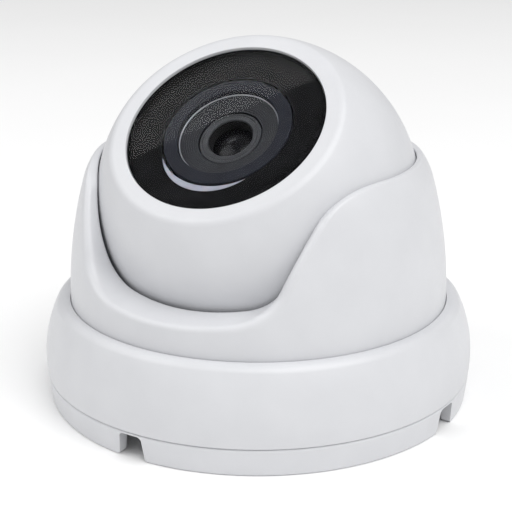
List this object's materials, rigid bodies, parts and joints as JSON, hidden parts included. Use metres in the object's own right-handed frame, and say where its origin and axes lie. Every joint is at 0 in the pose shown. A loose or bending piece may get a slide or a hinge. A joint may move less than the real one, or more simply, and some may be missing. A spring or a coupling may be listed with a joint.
{
  "type": "dome cctv camera",
  "caption": "Turret dome camera: notched round base with a cover ring, a collar that pans on it, and an eyeball with lens and lamp ring behind a black window that tilts in the collar.",
  "frame": {"origin": "centre of the mounting face", "axes": "+Z out of the mounting face, through the eyeball; -Y is the side the camera looks to"},
  "size_m": [0.0948, 0.0948, 0.0781],
  "materials": {
    "white_casing": "satin white powder coat",
    "steel": "zinc plated",
    "bearing_plastic": "natural, unpainted",
    "black_plastic": "matt moulded",
    "black_rubber": "matt",
    "window_glass": "polished, black printed outside its clear middle",
    "shade_plastic": "dark bluish grey, matt",
    "white_board": "white solder mask",
    "lamp_epoxy": "clear epoxy",
    "guide_plastic": "milky, translucent",
    "black_anodised": "black anodised",
    "lens_glass": "coated",
    "filter_glass": "coated",
    "chip": "moulded",
    "green_board": "green solder mask"
  },
  "bodies": {
    "base": {"base_plate": "white_casing", "cover_ring": "white_casing", "cover_screws": "steel", "pan_ring": "bearing_plastic", "friction_ring": "black_rubber", "cable_grommet": "black_rubber"},
    "collar": {"collar_shell": "white_casing", "pivot_bushes": "black_plastic", "tilt_pads": "black_rubber"},
    "eyeball": {"front_shell": "white_casing", "rear_shell": "white_casing", "shell_screws": "steel", "led_screws": "steel", "holder_screws": "steel", "board_screws": "steel", "board_spacers": "steel", "pivot_pins": "steel", "shell_seal": "black_rubber", "cable_gland": "black_rubber", "window_gasket": "black_rubber", "window_glass": "window_glass", "lens_shade": "shade_plastic", "led_board": "white_board", "ir_leds": "lamp_epoxy", "light_sensor": "lamp_epoxy", "light_guide": "guide_plastic", "lens_barrel": "black_anodised", "lens_lock_ring": "black_anodised", "front_lens": "lens_glass", "rear_lens": "lens_glass", "lens_holder": "black_plastic", "filter_housing": "black_plastic", "image_sensor": "chip", "processor_chip": "chip", "sensor_board": "green_board", "main_board": "green_board", "board_connector": "bearing_plastic", "cable_header": "bearing_plastic"},
    "filter_slide": {"filter_frame": "black_plastic", "day_filter": "filter_glass", "night_glass": "lens_glass"}
  },
  "joints": [
    {"name": "pan", "type": "hinge", "parent": "base", "child": "collar", "pos_m": [0, 0, 0], "axis": [0, 0, 1], "range_deg": [-170, 170]},
    {"name": "tilt", "type": "hinge", "parent": "collar", "child": "eyeball", "pos_m": [0, 0, 0.0432], "axis": [-1, 0, 0], "range_deg": [-32, 35]},
    {"name": "filter_switch", "type": "slide", "parent": "eyeball", "child": "filter_slide", "axis": [1, 0, 0], "range_m": [0, 0.0062]}
  ]
}
